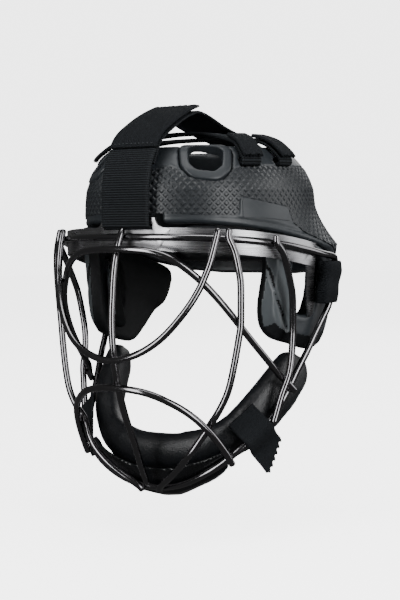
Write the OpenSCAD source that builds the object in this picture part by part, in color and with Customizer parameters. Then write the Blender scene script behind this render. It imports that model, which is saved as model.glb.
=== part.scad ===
// Sports face mask with a wire cage and an open soft foam head shell
// Frame: x is the wearer's left, y points to the back of the head, z is up, all in mm
// The cage wires lie on one curved cage surface, the foam parts on one curved head wall

/* [Cage] */
// Diameter of every cage wire
wire_d = 5; // [3:0.5:6]
// Sides of a wire's section
wire_sides = 8; // [6:1:16]
// Gap from the shell's side to the cage surface at the brow wire
cage_side_gap = 22; // [20:0.5:34]
// Width of the cage surface at the chin wire
cage_chin_w = 160; // [130:1:200]
// Depth of the cage ahead of the ear line at nose height
nose_depth = 122; // [95:1:135]
// Gap from the shell's front to the cage surface at the brow wire
cage_front_gap = 7; // [6:0.5:14]
// Depth of the cage ahead of the ear line at the chin wire
chin_depth = 73; // [50:1:90]
// Height of the chin wire's middle
chin_z = 10; // [8:1:30]
// Height of the foremost point of the cage
nose_z = 132; // [100:1:150]
// Height of the brow wire's middle
brow_z = 191; // [170:1:215]
// How much the brow wire drops at the temples
brow_drop = 14; // [0:1:25]
// How far the cage draws in at cheek height
cage_waist = 5; // [0:0.5:8]
// Squareness of the cage seen from above, 2 is an ellipse
cage_square = 2.2; // [2:0.05:3]

/* [Wires] */
// Lowest point of the loop under the eyes
eye_loop_z = 107; // [90:1:125]
// Highest point of the brow arch
brow_arch_z = 179; // [160:1:186]
// Highest point of the chin arch
chin_arch_z = 88; // [65:1:100]
// How far the upright wires stand above the brow wire
wire_over = 5; // [2:0.5:8]

/* [Brow plate] */
// Height of the flat brow plate
plate_h = 17; // [12:1:24]
// Thickness of the flat brow plate
plate_t = 2; // [1:0.5:3]
// Width of the plate's side legs
leg_w = 9; // [6:0.5:14]

/* [Foam shell] */
// Half width of the shell above the ears
shell_half_w = 82; // [78:1:100]
// Length of the shell ahead of the ear line
shell_front = 98; // [88:1:115]
// Length of the shell behind the ear line
shell_rear = 74; // [70:1:110]
// Extra length and width that the rear lower edge flares by
shell_flare = 16; // [0:1:20]
// Thickness of the moulded foam
foam_t = 13; // [8:1:20]
// Height of the shell's top edge
shell_top_z = 255; // [240:1:275]
// Height of the shell's lower edge at the brow
lip_front_z = 200; // [190:1:215]
// Height of the shell's lower edge at the back
lip_rear_z = 159; // [140:1:190]
// Squareness of the shell seen from above
shell_square = 2.2; // [2:0.05:2.6]

/* [Vents and slots] */
// Width of the vent hole above each temple
vent_w = 25; // [15:1:35]
// Height of the vent hole
vent_h = 24; // [16:1:28]
// Width of the moulded ring around the vent
vent_ring = 6.5; // [4:0.5:10]
// Width of the strap slots in the top rim
slot_w = 17; // [14:1:24]
// Height of the strap slots
slot_h = 7; // [5:0.5:10]

/* [Ear guards] */
// Lowest height of the ear guards
guard_low_z = 108; // [95:1:130]
// Thickness of the ear guards
guard_t = 13; // [8:1:18]
// Thickness of the cheek pads inside the ear guards
cheek_t = 12; // [6:1:20]

/* [Chin] */
// Thickness of the chin pad roll
chin_pad_t = 20; // [12:1:28]
// Wall of the chin cup
cup_t = 4; // [3:0.5:8]
// Height of the chin cup's front wall over the chin wire
cup_wall = 14; // [9:0.5:16]
// Depth of the chin cup's floor from front to back
cup_depth = 42; // [30:1:44]

/* [Straps] */
// Width of the crown straps
crown_w = 40; // [25:1:50]
// Thickness of the crown webbing
web_t = 2.5; // [1.5:0.25:4]
// Width of the cross straps over the crown
cross_w = 15; // [12:1:20]
// Width of the temple straps
temple_w = 31; // [20:1:38]
// Width of the chin straps
chin_strap_w = 24; // [15:1:30]

/* [Fit] */
// Clearance between a soft piece and its neighbour
clear = 0.3; // [0.1:0.1:1]

/* [Hidden] */

// The origin is the middle of the head space, on the ear line at this height above the floor
head_z = 150;
// Width and depth of the cage surface at the brow wire
cage_brow_w = 2 * (shell_half_w + cage_side_gap);
brow_depth = shell_front + cage_front_gap;
// Cage lengths that follow from the wire
wire_r = wire_d / 2;
plate_out = -(wire_r + plate_t / 2 + 0.1);
plate_low = 1.8;
// Step from one layer of wires to the next
layer = wire_d - 0.1;
// Steps of the smooth curves
wire_steps = 3;
wall_step = 6;

// Plain helpers
function mix(a, b, k) = a + (b - a) * k;
function unit(v) = v / norm(v);
function spow(v, e) = sign(v) * pow(abs(v), e);
function mirror_x(p) = [-p.x, p.y, p.z];
function flip(list) = [for (i = [len(list) - 1:-1:0]) list[i]];

// Smooth curve through four neighbouring points
function curve(a, b, c, d, k) =
  0.5 * (2 * b + (c - a) * k + (2 * a - 5 * b + 4 * c - d) * k * k
  + (3 * b - a - 3 * c + d) * k * k * k);
function spline(p, n) = [
  for (i = [0:len(p) - 2])
    for (j = [0:n - 1])
      curve(p[max(i - 1, 0)], p[i], p[i + 1], p[min(i + 2, len(p) - 1)], j / n),
  p[len(p) - 1]];
function ring_spline(p, n) = [
  for (i = [0:len(p) - 1])
    for (j = [0:n - 1])
      curve(p[(i + len(p) - 1) % len(p)], p[i], p[(i + 1) % len(p)], p[(i + 2) % len(p)], j / n)];

// Directions along a path
function ahead(p, i, ring) =
  unit(ring ? p[(i + 1) % len(p)] - p[(i + len(p) - 1) % len(p)]
  : p[min(i + 1, len(p) - 1)] - p[max(i - 1, 0)]);

// Solid skin over a row of equal loops, closed on itself or shut at both ends: with a fan of
// faces, or across a thin section whose first half is its outer side
function middle(l) = [for (p = l) 1] * l / len(l);
module skin(loops, ring = false, thin = false) {
  n = len(loops);
  m = len(loops[0]);
  last = ring ? n - 1 : n - 2;
  pts = concat([for (l = loops) for (p = l) p],
    ring || thin ? [] : [middle(loops[0]), middle(loops[n - 1])]);
  sides = [for (i = [0:last]) for (j = [0:m - 1])
    let (a = i * m + j, b = i * m + (j + 1) % m, i2 = (i + 1) % n,
      c = i2 * m + (j + 1) % m, d = i2 * m + j)
    each [[a, b, c], [a, c, d]]];
  o = (n - 1) * m;
  fans = [for (j = [0:m - 1]) each [[n * m, (j + 1) % m, j], [n * m + 1, o + j, o + (j + 1) % m]]];
  strips = [for (j = [0:m / 2 - 2]) let (k = m - 1 - j)
    each [[j + 1, j, k], [j + 1, k, k - 1], [o + j, o + j + 1, o + k], [o + j + 1, o + k - 1, o + k]]];
  caps = ring ? [] : thin ? strips : fans;
  polyhedron(points = pts, faces = concat(sides, caps), convexity = 8);
}

// Round wire along a path, its section set out from the ear line
module wire(path, ring = false) {
  loops = [for (i = [0:len(path) - 1])
    let (p = path[i], t = ahead(path, i, ring),
      u = unit(cross(t, [p.x, p.y - 20, (p.z - nose_z) / 2])), v = cross(t, u))
    [for (a = [0:360 / wire_sides:359])
      p + wire_r * (cos(a) * u + sin(a) * v)]];
  skin([for (l = loops) flip(l)], ring);
}

// Flat band along a path: width lies along the wide vectors
module band(path, wide, w, t, ring = false) {
  loops = [for (i = [0:len(path) - 1])
    let (p = path[i], f = ahead(path, i, ring),
      x = unit(wide[i] - (wide[i] * f) * f), n = cross(f, x),
      hw = (is_list(w) ? w[i] : w) / 2)
    [p - hw * x + t / 2 * n, p + hw * x + t / 2 * n, p + hw * x - t / 2 * n,
      p - hw * x - t / 2 * n]];
  skin(loops, ring);
}

// Cage surface: t is the angle round from the nose, z the height, out the distance in front
function cage_k(z) = (z - chin_z) / (brow_z - chin_z);
function cage_a(z) = mix(cage_chin_w, cage_brow_w, cage_k(z)) / 2
  - cage_waist * sin(180 * pow(min(max(cage_k(z), 0), 1), 2));
function cage_f(z) = z < nose_z
  ? nose_depth - (nose_depth - chin_depth) * pow((nose_z - z) / (nose_z - chin_z), 2)
  : nose_depth - (nose_depth - brow_depth) * pow((z - nose_z) / (brow_z - nose_z), 2);
function cage_flat(t, z) = [
  cage_a(z) * spow(sin(t), 2 / cage_square),
  -cage_f(z) * spow(cos(t), 2 / cage_square), z];
function cage_out(t, z) = unit(cross(
  cage_flat(t + 3, z) - cage_flat(t - 3, z),
  cage_flat(t, z + 3) - cage_flat(t, z - 3)));
function cage(q, mm) = cage_flat(q.x, q.y) + cage_out(q.x, q.y) * (q.z * layer + mm);

// A whole wire from its left half, which starts at the nose line
function both(half) = concat(
  [for (i = [len(half) - 1:-1:1]) [-half[i].x, half[i].y, half[i].z]], half);
function cage_path(points) = [for (q = spline(points, wire_steps)) cage(q, 0)];

// Height and layer of the brow wire at an angle round the cage
function brow_at(t) = brow_z - brow_drop * pow(min(abs(t), 90) / 90, 2.6);
function brow_layer(t) = lookup(abs(t), [[0, 0], [55, 0], [66, 0.1], [74, 0.35], [79, 0.6],
  [86, 0.9], [92, 1]]);

// Half of the perimeter wire from the chin to the brow: angle, height, layer
rim_half = concat([[0, chin_z, 0], [11, chin_z + 2, 0], [21, 16.8, 0], [30, 23, 0], [39, 29.5, 0],
  [49, 39, 0], [59, 49.5, 0], [68, 60, 0], [74.5, 71.5, 0], [79, 83, 0.1], [81.5, 91, 0.2],
  [84, 99, 0.4], [86.8, 108, 0.6], [89.2, 118, 0.8], [91.3, 129, 1.1], [93.6, 140, 1.4],
  [94.5, 152, 1.4], [94.6, 163, 1.2], [94.4, brow_at(90) - 4, 1.05], [92.8, brow_at(90) - 0.8, 1]],
  [for (t = [88, 83, 78, 70, 61, 52, 43, 34, 25, 16, 8, 0]) [t, brow_at(t), brow_layer(t)]]);
rim_steps = 2;
rim_loop = [for (q = ring_spline(concat(
  [for (i = [0:len(rim_half) - 1]) rim_half[i]],
  [for (i = [len(rim_half) - 2:-1:1]) [-rim_half[i].x, rim_half[i].y, rim_half[i].z]]),
  rim_steps)) cage(q, 0)];

// Half courses of the other wires: angle, height, layer
eye_half = concat([for (q = [[0, 0], [5, 1], [14, 6.5], [23, 17], [31, 33.5], [35, 47], [36.3, 56]])
  [q.x, eye_loop_z + q.y, 1]],
  [[37, brow_at(37) - 18, 1], [36.8, brow_at(37) - 7, 1], [36.2, brow_at(36) + wire_over, 1]]);
brow_half = [for (q = [[0, 0, 1.9], [14, 0.6, 1.5], [23.6, 5.7, 0.85], [34.5, 17, 0.05],
  [44, 31, 0], [52, 45.5, 0], [60, 61.5, 0], [67.5, 76, 0], [73, 87, 0.1], [76, 93.5, 0.8],
  [78.7, 99, 1.1]]) [q.x, brow_arch_z - q.y, q.z]];
chin_half = [for (q = [[0, 0], [10, 1.4], [17, 4.7], [22.3, 9], [27.3, 14], [32.5, 21.3],
  [37, 30.3], [39.7, 37], [42.5, 45.7], [44, 51.5], [45, 56]]) [q.x, chin_arch_z - q.y, 1]];
side_half = [[40.4, brow_at(40) + wire_over, 1], [41, brow_at(41), 1], [45, 180.5, 1],
  [48.5, 169, 1], [51.2, 156.5, 1], [53, 134, 1], [52.7, 123, 1], [51, 106, 1], [48.4, 89, 1],
  [45.5, 78, 0.9], [41.5, 67, 0.5], [38.5, 60, 0], [35, 53.3, 0.1], [28.5, 44, 0.8],
  [20.5, 32.5, 1], [13.5, 23.7, 1], [8, 18, 1], [5, 14, 1], [4.2, 11, 1]];
temple_half = [[60, brow_at(60) + wire_over, 1], [61.2, brow_at(61), 1.1], [65.4, 179.5, 1.1],
  [69.6, 168.5, 1], [73, 157, 1], [75.1, 147, 1], [76.6, 129, 1], [76.9, 117, 1],
  [76.5, 106, 1.1], [75.3, 96.5, 1.3], [74, 90, 1.35], [71.8, 79.5, 1.1], [69.2, 66.5, 1],
  [67.4, 59, 1]];
function nose_layer(z) = lookup(z, [[chin_z, 1], [chin_z + 10, 1], [chin_z + 32, 0], [150, 0],
  [brow_z - 8, 1], [brow_z, 1]]);
nose_line = [for (z = [brow_z + wire_over - 1.5:-8.9:chin_z]) cage([0, z, nose_layer(z)], 0)];

// Head wall: h is the angle round from the front, in is the depth behind the outer face
flare_z = 183;
function flare(z) = z > flare_z ? pow(max(shell_top_z - 41 - z, 0) / (shell_top_z - 41 - flare_z), 1.5)
  : 1 - (flare_z - z) / 115;
function wall_a(z, h) = shell_half_w + shell_flare * flare(z) * pow(sin(min(abs(h), 90)), 4);
function wall_f(z, h) = abs(h) < 90 ? shell_front : shell_rear + shell_flare * flare(z);
function wall_r(h, z) = pow(
  pow(abs(sin(h)) / wall_a(z, h), shell_square) + pow(abs(cos(h)) / wall_f(z, h), shell_square),
  -1 / shell_square);
function round_head(h, r, z) = [r * sin(h), -r * cos(h), z];
function wall(h, z, in) = round_head(h, wall_r(h, z) - in, z);

// Height of the shell's lower edge round the head
function lip_z(h) = lookup(abs(h), [for (q = [[0, 1], [30, 0.99], [48, 0.93], [66, 0.84],
  [78, 0.74], [90, 0.63], [102, 0.48], [120, 0.22], [138, 0.06], [156, 0], [180, 0]])
  [q.x, mix(lip_rear_z, lip_front_z, q.y)]]);

// Heights of the rows of points on the shell's wall above its lower edge
function wall_rows(z0) = let (z1 = shell_top_z - 41, a = z0 + 4) a < flare_z
  ? [a, (a + flare_z) / 2, flare_z, mix(flare_z, z1, 0.3), mix(flare_z, z1, 0.63), z1]
  : [for (k = [0:0.2:1]) mix(a, z1, k)];

// Section of the shell at one angle: depth behind the outer face and height
function shell_loop(h, extra = 0) = let (z0 = lip_z(h), z1 = shell_top_z, rows = wall_rows(z0)) concat(
  [wall(h, z0, 2.5 - extra)], [for (z = rows) wall(h, z, -extra)],
  [wall(h, z1 - 31, 1 - extra), wall(h, z1 - 24, 3.5 - extra), wall(h, z1 - 17, 7 - extra),
  wall(h, z1 - 11, 11.5 - extra), wall(h, z1 - 5, 17 - extra),
  wall(h, z1 - 1 + extra / 2, 22.5 - extra), wall(h, z1 + extra / 2, 25.5), wall(h, z1 - 2.5, 29),
  wall(h, z1 - 12, 26), wall(h, z1 - 23, 20)],
  [for (i = [5:-1:1]) wall(h, rows[i] + (i == 5 ? 3 : 0), foam_t + (i == 5 ? 1.5 : 0))],
  [wall(h, z0 + 1, foam_t), wall(h, z0, foam_t - 2)]);

// Colours
steel = [0.3, 0.31, 0.33];
foam = [0.13, 0.14, 0.15];
dark = [0.06, 0.06, 0.07];
web = [0.09, 0.09, 0.1];

// Everything is drawn above the floor and then set with its origin in the head space
module placed() {
  translate([0, 0, -head_z]) children();
}
module other_side() {
  mirror([1, 0, 0]) children();
}

// Cage
plate_t_list = [for (t = [-84:6:-18]) t, -15, -14.6, -8, 0, 8, 14.6, 15, for (t = [18:6:84]) t];
tongue_h = 7;
function plate_at(t, in = 0) = let (o = cage_out(t, brow_at(t)))
  cage([t, brow_at(t), brow_layer(t)], 0) + (plate_out - in) * unit([o.x, o.y, 0]) - [0, 0, plate_low];
module brow_plate() {
  color(steel) placed() difference() {
    union() {
      band([for (t = plate_t_list) plate_at(t) + [0, 0, abs(t) < 14.8 ? tongue_h / 2 : 0]],
        [for (t = plate_t_list) [0, 0, 1]],
        [for (t = plate_t_list) abs(t) < 14.8 ? plate_h + tongue_h : plate_h], plate_t);
      plate_leg();
      other_side() plate_leg();
    }
    translate([0, -brow_depth, slot_up]) cube([crown_w + 2, 20, web_t + 1.5], center = true);
  }
}
// Side leg from the plate down to the perimeter wire
leg_course = [[82.8, brow_at(83) - 2, plate_out + 0.4], [83.2, brow_at(83) - 10, plate_out + 1.6],
  [84.5, 163, plate_out + 0.8], [86.2, 153, plate_out], [87.6, 141, plate_out], [88.6, 132, plate_out]];
module plate_leg() {
  band([for (q = leg_course) cage([q.x, q.y, 0.7], q.z)],
    [for (q = leg_course) cage_flat(q.x + 3, q.y) - cage_flat(q.x - 3, q.y)],
    [leg_w, leg_w, leg_w, leg_w, leg_w, leg_w / 2], plate_t);
}
module perimeter_wire() {
  color(steel) placed() wire(rim_loop, true);
}
module centre_wire() {
  color(steel) placed() wire(nose_line);
}
module eye_loop_wire() {
  color(steel) placed() wire(cage_path(both(eye_half)));
}
module brow_arch_wire() {
  color(steel) placed() wire(cage_path(both(brow_half)));
}
module chin_arch_wire() {
  color(steel) placed() wire(cage_path(both(chin_half)));
}
module side_wire() {
  color(steel) placed() wire(cage_path(side_half));
}
module side_wire_left() {
  side_wire();
}
module side_wire_right() {
  other_side() side_wire();
}
module temple_wire() {
  color(steel) placed() wire(cage_path(temple_half));
}
module temple_wire_left() {
  temple_wire();
}
module temple_wire_right() {
  other_side() temple_wire();
}

// Soft foam shell
vent_h_deg = 33;
vent_z = shell_top_z - 9.5;
slot_front_deg = 57;
slot_rear_deg = 84;
slot_z = shell_top_z - 13;
module vent_shape(grow) {
  offset(r = grow) offset(r = 5) offset(delta = -5)
    polygon([[-vent_w / 2, vent_h / 2], [vent_w / 2, vent_h / 2], [vent_w / 2 - 1, -vent_h / 4],
      [vent_w / 4, -vent_h / 2], [-vent_w / 4, -vent_h / 2], [-vent_w / 2 + 1, -vent_h / 4]]);
}
module vent_prism(grow, long) {
  rotate([0, 0, vent_h_deg]) translate([0, -58, vent_z - 22]) rotate([46, 0, 0])
    linear_extrude(long) vent_shape(grow, $fn = 24);
}
module slot_cut(deg) {
  rotate([0, 0, deg]) translate([0, -wall_r(deg, slot_z) + 14, slot_z])
    cube([slot_w, 46, slot_h], center = true);
}
module foam_shell() {
  color(foam) placed() difference() {
    skin([for (h = [0:wall_step:359]) shell_loop(h > 180 ? h - 360 : h)], true);
    translate([0, -shell_front, lip_front_z])
      cube([crown_w + 8, 3 * foam_t, 22], center = true);
    for (s = [0, 1]) mirror([s, 0, 0]) {
      vent_prism(vent_ring + clear, 60);
      slot_cut(slot_front_deg);
      slot_cut(slot_rear_deg);
    }
  }
}

// Ring moulded round each vent, standing a little proud of the shell
module vent_rim() {
  color(foam) placed() difference() {
    intersection() {
      vent_prism(vent_ring, 60);
      skin([for (h = [6:wall_step:66]) shell_loop(h, 1.4)]);
    }
    vent_prism(0, 60);
  }
}
module vent_rim_left() {
  vent_rim();
}
module vent_rim_right() {
  other_side() vent_rim();
}

// Smooth panel set on the side of the shell
panel_from = 49;
panel_to = 77;
module side_panel() {
  color(dark) placed() skin([for (h = [panel_from:4:panel_to])
    let (k = (h - panel_from) / (panel_to - panel_from), z1 = shell_top_z - mix(36.5, 45, k),
      z0 = shell_top_z - mix(49.5, 54, k), c = k == 0 || k == 1 ? 2 : 0) [
      wall(h, z0 + c, -0.3), wall(h, z0 + c, -1.2), wall(h, (z0 + z1) / 2, -1.3),
      wall(h, z1 - c, -1.2), wall(h, z1 - c, -0.3), wall(h, (z0 + z1) / 2, -0.3)]]);
}
module side_panel_left() {
  side_panel();
}
module side_panel_right() {
  other_side() side_panel();
}

// Section of a cushion: k is the share of its end that is drawn in
function cushion(a0, a1, b0, b1, k = 1) = let (d = b1 - b0, m = (b0 + b1) / 2, n = (a0 + a1) / 2,
  e = min(abs(a1 - a0) * 0.22, 6) * sign(a1 - a0)) [
  [a0 + e, b0], [n, b0], [a1 - e, b0], [a1 - e * 0.25, b0 + d * 0.22], [a1, m],
  [a1 - e * 0.8, b1 - d * 0.16], [n, b1], [a0 + e * 0.8, b1 - d * 0.16], [a0, m],
  [a0 + e * 0.25, b0 + d * 0.22]];

// Brow cushion between the plate and the forehead
brow_pad_course = [[-56, 3, 6], [-54.5, 1, 1.5], [-52, 0, 0], for (t = [-46:8:46]) [t, 0, 0],
  [52, 0, 0], [54.5, 1, 1.5], [56, 3, 6]];
module brow_pad() {
  color(dark) placed() skin([for (q = brow_pad_course)
    let (p = plate_at(q.x, plate_t / 2 + clear + 0.2),
      h = atan2(p.x, -p.y), r0 = norm([p.x, p.y]), r1 = wall_r(h, lip_front_z - 8) - foam_t - 2 + q.z,
      top = lip_z(h) - clear - 5 * lookup(abs(q.x), [[15, 1], [24, 0]]) - q.y,
      low = brow_at(q.x) - plate_h / 2 - 1 + q.y)
    [for (c = cushion(low, top, r0 - q.z / 3, r1)) round_head(h, c.y, c.x)]]);
}

// Cushion inside the back of the shell
rear_pad_course = [[128, 6, 8], [130, 2.5, 3], [134, 0, 0], for (h = [142:9.5:218]) [h, 0, 0],
  [226, 0, 0], [230, 2.5, 3], [232, 6, 8]];
rear_pad_t = 14;
module rear_pad() {
  color(dark) placed() skin([for (q = rear_pad_course)
    let (h = q.x > 180 ? q.x - 360 : q.x, low = lip_rear_z + 7, top = lip_rear_z + 41)
    [for (c = cushion(low + q.y, top - q.y, foam_t + 2 * clear, foam_t + rear_pad_t - q.z))
      wall(h, c.x, c.y)]]);
}

// Ear guard: pairs of outer and window edge points, angle and height
guard_edge = [[61, lip_front_z, 75, 174, 0], [61, guard_low_z + 59, 74, 164, 0],
  [59.5, guard_low_z + 44, 74, 151, 0], [58.5, guard_low_z + 30, 75, 140, 0],
  [60, guard_low_z + 18, 79, 134.5, 0], [66.5, guard_low_z + 9, 84, 133, 0],
  [80, guard_low_z + 4, 88, 134, 0], [94, guard_low_z - 1, 91, 137, 1.5],
  [102, guard_low_z + 2, 92.5, 143, 4], [110, guard_low_z + 12, 93.5, 147, 4.5],
  [116, guard_low_z + 22, 94, 152, 3.5], [122, guard_low_z + 28, 94, 156, 2],
  [126, guard_low_z + 40, 94, 161, 1], [127, guard_low_z + 52, 93, 167, 0],
  [122, lip_front_z, 91, 171, 0], [112, lip_front_z, 89, 173.5, 0], [102, lip_front_z, 86, 174.5, 0],
  [90, lip_front_z, 83, 175, 0], [78, lip_front_z, 80, 175.5, 0]];
function guard_point(h, z, in) = wall(h, min(z, lip_z(h) - 2 * clear), in);
module ear_guard() {
  color(foam) placed() skin([for (q = ring_spline([for (p = flip(guard_edge))
    [p[0], min(p[1], lip_z(p[0]) - 2 * clear), p[2], p[3], p[4]]], 2))
    let (h = q[0], z = q[1], g = q[2], y = q[3], w = q[4]) [
      guard_point(g, y, 2.5), guard_point(mix(g, h, 0.15), mix(y, z, 0.15), 0.3),
      guard_point(mix(g, h, 0.7), mix(y, z, 0.7), -w / 2), guard_point(h, z, 4.5 - w),
      guard_point(h, z, guard_t - 1.5 - w / 2),
      guard_point(mix(h, g, 0.1), mix(z, y, 0.1), guard_t - w / 3),
      guard_point(g, y, guard_t)]], true);
}
module ear_guard_left() {
  ear_guard();
}
module ear_guard_right() {
  other_side() ear_guard();
}

// Cheek pad inside the front of the ear guard: height, front angle, rear angle, loss of depth
cheek_course = [[119, 76, 83, 8], [120.5, 72, 84, 3], [124, 67.5, 83, 0.5], [130, 64.5, 79, 0],
  [138, 63, 76.5, 0], [147, 63.5, 75.5, 0], [157, 65, 75.5, 0.5], [164, 68, 75.5, 1.5],
  [168.5, 70, 75, 4], [170, 71.5, 74.5, 8]];
module cheek_pad() {
  color(dark) placed() skin([for (q = flip(cheek_course))
    [for (c = cushion(q[1], q[2], guard_t + 3 * clear, guard_t + cheek_t - q[3]))
      wall(c.x, q[0], c.y)]]);
}
module cheek_pad_left() {
  cheek_pad();
}
module cheek_pad_right() {
  other_side() cheek_pad();
}

// Chin pad roll: upper and lower edge points of its outer face from the middle to the end, as
// distance from the middle, depth behind the cage's front at that height, and height
pad_span = 80;
function chin_row(points) = [for (q = points)
  [q.x * cage_chin_w / 2 / pad_span, q.y - cage_f(q.z), q.z]];
chin_upper = chin_row([[0, 20.2, 47], [15, 20.2, 47], [31, 23.6, 49.5], [46, 31.2, 54.5], [58, 41.9, 62],
  [67, 53.9, 72], [73.2, 67.1, 82.5], [77.4, 82.2, 94], [80.5, 95.4, 104], [83, 103.3, 109]]);
chin_lower = chin_row([[0, 10.2, 18], [15, 11.1, 18.5], [30, 14.7, 20], [45, 20.9, 23], [58.5, 33.1, 29],
  [70.5, 50.9, 38], [79.5, 73.4, 51], [86, 95.7, 66], [89, 116.8, 82], [88, 124.4, 99]]);
chin_ends = [0, 0, 0, 0, 0, 0, 0, 0, 1.5, 5];
function chin_station(a, b, f, thin) = let (w = b - a, n = unit(cross(f, w)))
  [for (c = cushion(0, norm(w), thin * 0.4, chin_pad_t - thin)) a + c.x * unit(w) + (c.y
    + (c.y < 1 && c.x > norm(w) * 0.3 && c.x < norm(w) * 0.7 ? -1.5 : 0)) * n];
chin_a = both(chin_upper);
chin_b = both(chin_lower);
module chin_pad() {
  n = len(chin_upper);
  color(dark) placed() skin([for (i = [0:len(chin_a) - 1])
    flip(chin_station(chin_a[i], chin_b[i], ahead((chin_a + chin_b) / 2, i, false),
      chin_ends[abs(i - n + 1)]))]);
}

// Chin cup: a trough along the lower wire, its front wall inside the wire, its floor under the pad
cup_to = 46;
cup_eye = [0, -18];
// How far the floor lies lower towards the ends, and how high the wall stands over the wire
function cup_sink(t) = lookup(abs(t), [[0, 0], [25, 1], [38, 4], [cup_to, 5]]);
function cup_rise(t) = lookup(abs(t), [[0, cup_wall], [20, cup_wall - 1], [35, cup_wall - 5],
  [cup_to, cup_wall - 8]]);
function rim_z(t) = lookup(abs(t), [for (i = [0:6]) [rim_half[i].x, rim_half[i].y]]);
// Section as distance in from the wire's middle and depth below it
function cup_section(t) = let (s = cup_sink(t), u = cup_rise(t), lean = (u - 4) * 0.42,
  g = wire_r + 0.6, w = cup_t - 0.4, floor_in = cup_depth)
  [[1.2 - lean, -u], [1.2 - lean / 2, -(u + 4) / 2], [1.2, -4], [g, -1], [g + 0.2, 2],
  [6, 6 + s * 0.6], [14, 8.5 + s], [floor_in * 0.66, 9 + s], [floor_in, 7.5 + s * 0.6],
  [floor_in + 1, 7.5 - w + s * 0.6], [floor_in * 0.66, 9 - cup_t + s], [15, 8.6 - cup_t + s],
  [6.1 + w, 7.2 - cup_t + s * 0.6], [g + w + 0.6, 1], [g + w - 0.1, -1.5],
  [1.2 + cup_t, -4.5], [1.2 - lean / 2 + w, -(u + 4) / 2], [1.2 - lean + w - 0.3, -u]];
module chin_cup() {
  color(dark) placed() skin([for (t = [-cup_to:cup_to / 8:cup_to])
    let (p = cage([t, rim_z(t), 0], 0), n = unit([cup_eye.x - p.x, cup_eye.y - p.y, 0]))
    flip([for (q = cup_section(t)) p + q.x * n - [0, 0, q.y]])], thin = true);
}

// Crown straps, courses in depth and height on the middle line
strap_in = web_t / 2 + clear;
plate_y = -brow_depth - plate_out;
slot_up = brow_z + 7;
// Points of a course: depth behind the shell's front or rear face, and height over its top
function from_front(in, up) = [in - shell_front, up + shell_top_z];
function from_rear(in, up) = [shell_rear - in, up + shell_top_z];
front_course = [[plate_y + plate_t / 2 + strap_in + 1.6, slot_up + 10],
  [plate_y + plate_t / 2 + strap_in + 1.3, slot_up + 2.5], [plate_y + 1.6, slot_up - 0.3],
  [plate_y - 1, slot_up - 0.3], [plate_y - plate_t / 2 - strap_in, slot_up + 2],
  [plate_y - plate_t / 2 - strap_in, slot_up + 14], from_front(-5, -27), from_front(-0.8, -12),
  from_front(4.2, -3)];
tab_course = [for (q = [[4.6, -1.3], [7.4, 3.4], [13.5, 9.2], [22, 14.3], [36, 21.3], [49, 26.4],
  [60, 29.8]]) from_front(q.x, q.y)];
rear_course = concat(
  [for (q = [[1.8, -13], [6.8, -4.4], [9.6, 1.5], [15.3, 6.3], [23.2, 11], [37, 18], [50, 23.2],
    [61, 25.3], [74, 22.8]]) from_front(q.x, q.y)],
  [for (q = [[78, 16.2], [60, 11.6], [42, 7.6], [31, 4.4], [21.4, 0.7], [15.6, -3.6], [10, -9.7],
    [5.4, -16]]) from_rear(q.x, q.y)]);
module crown_web(course, n) {
  path = [for (q = spline(course, n)) [0, q.x, q.y]];
  band(path, [for (p = path) [1, 0, 0]], crown_w, web_t);
}
module front_crown_strap() {
  color(web) placed() crown_web(front_course, 2);
}
module crown_tab() {
  color(web) placed() crown_web(tab_course, 2);
}
module rear_crown_strap() {
  color(web) placed() crown_web(rear_course, 2);
}

// Cross straps: from inside each slot over the rim to the crown, depth and height
slot_course = [[25, -13.5], [18, -13.5], [12.5, -13.5], [9.2, -13], [8, -11], [9.5, -8],
  [13.5, -4.2], [19, -0.1], [25.5, 2.8]];
tab_up = [[5, -7.5], [7.2, -4.8], [11.4, -1.2], [17.2, 3], [24.2, 6], [33, 8.4]];
function at_slot(deg, q) = wall_at_slot(deg, q.x, shell_top_z + q.y);
function wall_at_slot(deg, in, z) = round_head(deg, wall_r(deg, slot_z) - in, z);
front_over = [[37, -29, 7], [18, -26.5, 9.8], [0, -26, 10.5]];
rear_over = [[38, 0, 6.3], [20, 4, 7.3], [0, 6, 7.5]];
module cross_web(deg, over) {
  side = concat([for (q = slot_course) at_slot(deg, q)], [for (q = over) q + [0, 0, shell_top_z]]);
  half = flip(side);
  n = 3;
  path = spline(both(half), n);
  mid = (len(path) - 1) / 2;
  band(path, [for (i = [0:len(path) - 1])
    let (k = min(max((abs(i - mid) - 3) / (3 * n), 0), 1), s = i < mid ? -1 : 1)
    [s * k * cos(deg), mix(1, sin(deg), k), 0]], cross_w, web_t);
}
module cross_tab(deg) {
  path = spline([for (q = tab_up) at_slot(deg, q)], 2);
  band(path, [for (p = path) [cos(deg), sin(deg), 0]], cross_w, web_t);
}
module front_cross_strap() {
  color(web) placed() cross_web(slot_front_deg, front_over);
}
module rear_cross_strap() {
  color(web) placed() cross_web(slot_rear_deg, rear_over);
}
module front_cross_tab_left() {
  color(web) placed() cross_tab(slot_front_deg);
}
module front_cross_tab_right() {
  other_side() front_cross_tab_left();
}
module rear_cross_tab_left() {
  color(web) placed() cross_tab(slot_rear_deg);
}
module rear_cross_tab_right() {
  other_side() rear_cross_tab_left();
}

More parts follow.
